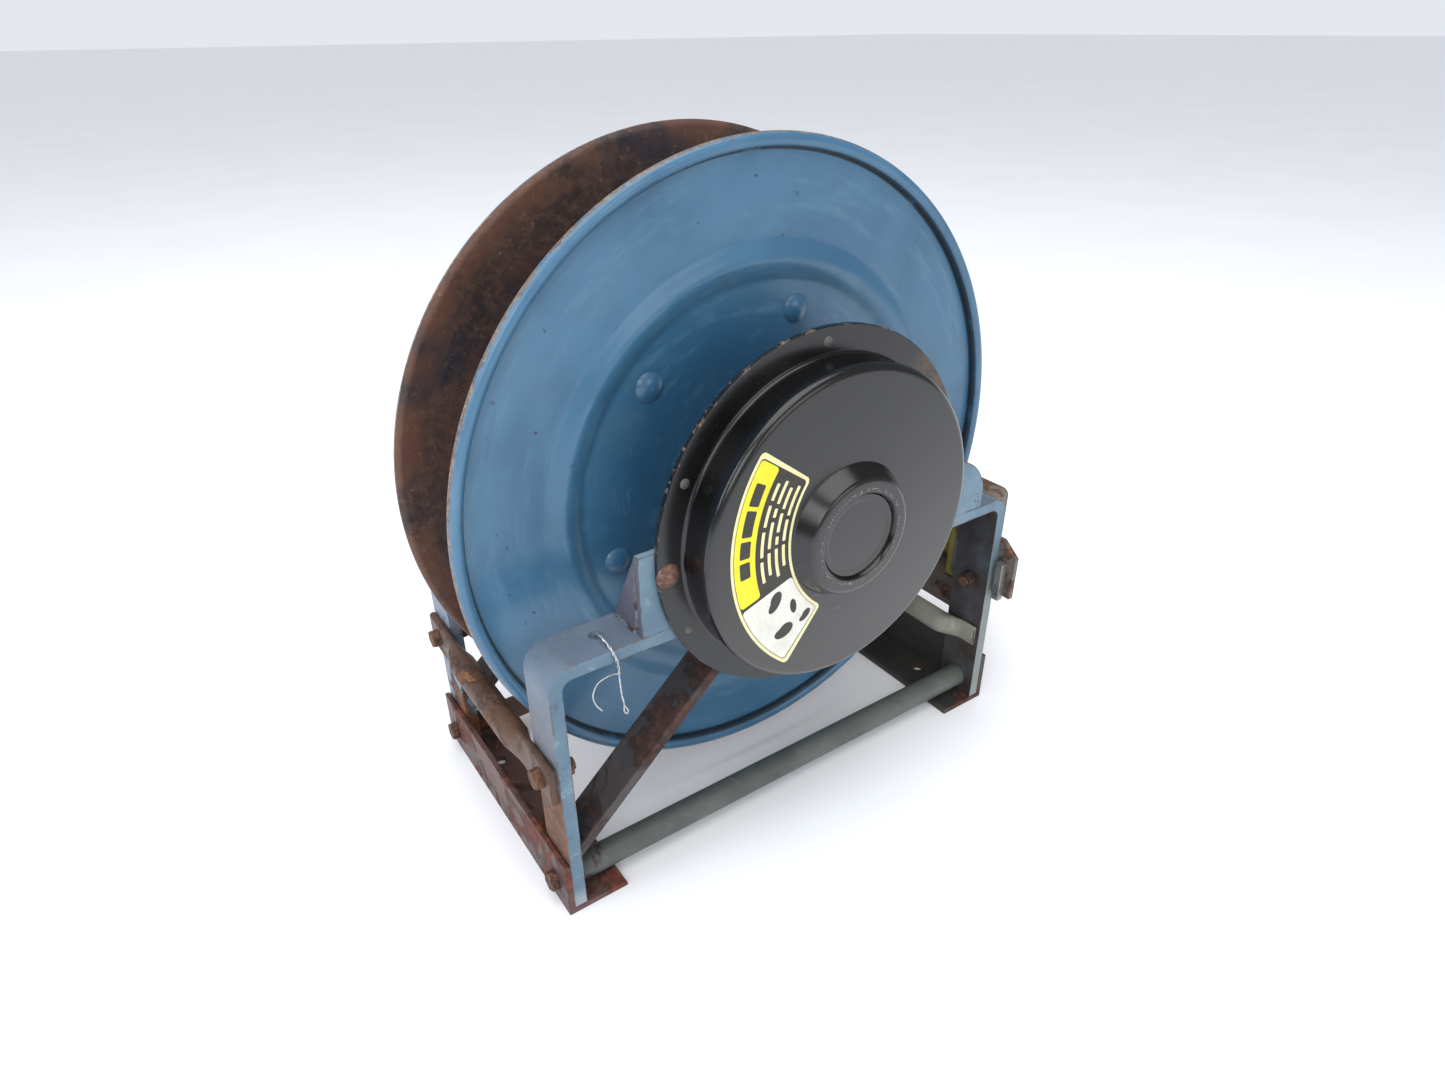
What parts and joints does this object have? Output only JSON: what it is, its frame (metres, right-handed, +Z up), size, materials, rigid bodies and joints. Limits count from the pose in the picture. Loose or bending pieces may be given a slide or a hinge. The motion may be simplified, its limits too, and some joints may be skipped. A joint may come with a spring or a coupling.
{
  "type": "spring-rewind hose reel",
  "caption": "Floor-standing spring-rewind hose reel: a disc-sided spool on an axle between bent flat-bar frames, with a round spring housing and a roller hose guide.",
  "frame": {"origin": "on the floor plane, at the centre of the base's four anchor holes, straight below the middle of the spool", "axes": "+Z up; Y along the axle, with the spring housing at -Y; +X towards the hose guide"},
  "size_m": [0.543, 0.3675, 0.528],
  "materials": {
    "frame_paint": "worn paint",
    "brace_paint": "worn paint",
    "spool_paint": "satin",
    "spool_rust": "rusted",
    "housing_paint": "gloss",
    "plain_steel": "satin",
    "zinc_fasteners": "satin",
    "rusted_fasteners": "rusted",
    "bronze": "satin",
    "spring_steel": "satin",
    "seal_rubber": "matte",
    "roller_plastic": "matte",
    "label_print": "satin"
  },
  "bodies": {
    "frame": {"front_frame": "frame_paint", "rear_frame": "frame_paint", "left_base_angle": "brace_paint", "right_base_angle": "brace_paint", "front_cross_tube": "brace_paint", "rear_cross_tube": "brace_paint", "front_diagonal_brace": "brace_paint", "rear_diagonal_brace": "brace_paint", "left_side_tube": "brace_paint", "right_side_tube": "frame_paint", "base_bolts": "rusted_fasteners", "side_tube_bolts": "rusted_fasteners", "side_tube_nuts": "rusted_fasteners", "front_bearing_bracket": "frame_paint", "rear_bearing_bracket": "frame_paint", "front_bearing_housing": "brace_paint", "rear_bearing_housing": "brace_paint", "bearing_bushes": "bronze", "bearing_bolts": "zinc_fasteners", "bearing_nuts": "zinc_fasteners", "spring_housing_back_plate": "housing_paint", "spring_housing_cover": "housing_paint", "housing_cap": "housing_paint", "housing_rivets": "zinc_fasteners", "housing_bolts": "rusted_fasteners", "housing_nuts": "rusted_fasteners", "label_plate": "label_print", "power_spring": "spring_steel", "pawl_pin": "plain_steel", "guide_front_bracket": "brace_paint", "guide_rear_bracket": "brace_paint", "guide_frame": "brace_paint", "guide_roller_pins": "plain_steel", "guide_bolts": "rusted_fasteners", "guide_nuts": "rusted_fasteners", "guide_clip": "zinc_fasteners"},
    "spool": {"front_disc": "spool_paint", "rear_disc": "spool_rust", "drum_core": "spool_rust", "axle": "plain_steel", "axle_keys": "plain_steel", "front_hub": "spool_paint", "rear_hub": "spool_rust", "hub_bolts": "zinc_fasteners", "hub_nuts": "zinc_fasteners", "tie_bolts": "spool_paint", "tie_nuts": "zinc_fasteners", "axle_collars": "plain_steel", "spring_arbor": "plain_steel", "ratchet_wheel": "brace_paint", "outlet_riser": "bronze"},
    "pawl": {"pawl": "brace_paint"},
    "swivel": {"swivel_body": "bronze", "swivel_seals": "seal_rubber", "swivel_screws": "zinc_fasteners"},
    "front_roller": {"front_guide_roller": "roller_plastic"},
    "rear_roller": {"rear_guide_roller": "roller_plastic"},
    "lower_roller": {"lower_guide_roller": "roller_plastic"},
    "upper_roller": {"upper_guide_roller": "roller_plastic"}
  },
  "joints": [
    {"name": "spool_turn", "type": "hinge", "parent": "frame", "child": "spool", "pos_m": [0, 0, 0.278], "axis": [0, 1, 0], "continuous": true},
    {"name": "pawl_pivot", "type": "hinge", "parent": "frame", "child": "pawl", "pos_m": [0.072, 0.13, 0.322], "axis": [0, 1, 0], "range_deg": [-8.5, 12]},
    {"name": "swivel_turn", "type": "hinge", "parent": "frame", "child": "swivel", "pos_m": [0, 0.166, 0.278], "axis": [0, 1, 0], "continuous": true},
    {"name": "front_roller_turn", "type": "hinge", "parent": "frame", "child": "front_roller", "pos_m": [0.258, -0.05, 0.1405], "axis": [0, 0, 1], "continuous": true},
    {"name": "rear_roller_turn", "type": "hinge", "parent": "frame", "child": "rear_roller", "pos_m": [0.258, 0.05, 0.1405], "axis": [0, 0, 1], "continuous": true},
    {"name": "lower_roller_turn", "type": "hinge", "parent": "frame", "child": "lower_roller", "pos_m": [0.281, 0, 0.1085], "axis": [0, 1, 0], "continuous": true},
    {"name": "upper_roller_turn", "type": "hinge", "parent": "frame", "child": "upper_roller", "pos_m": [0.281, 0, 0.1725], "axis": [0, 1, 0], "continuous": true}
  ]
}
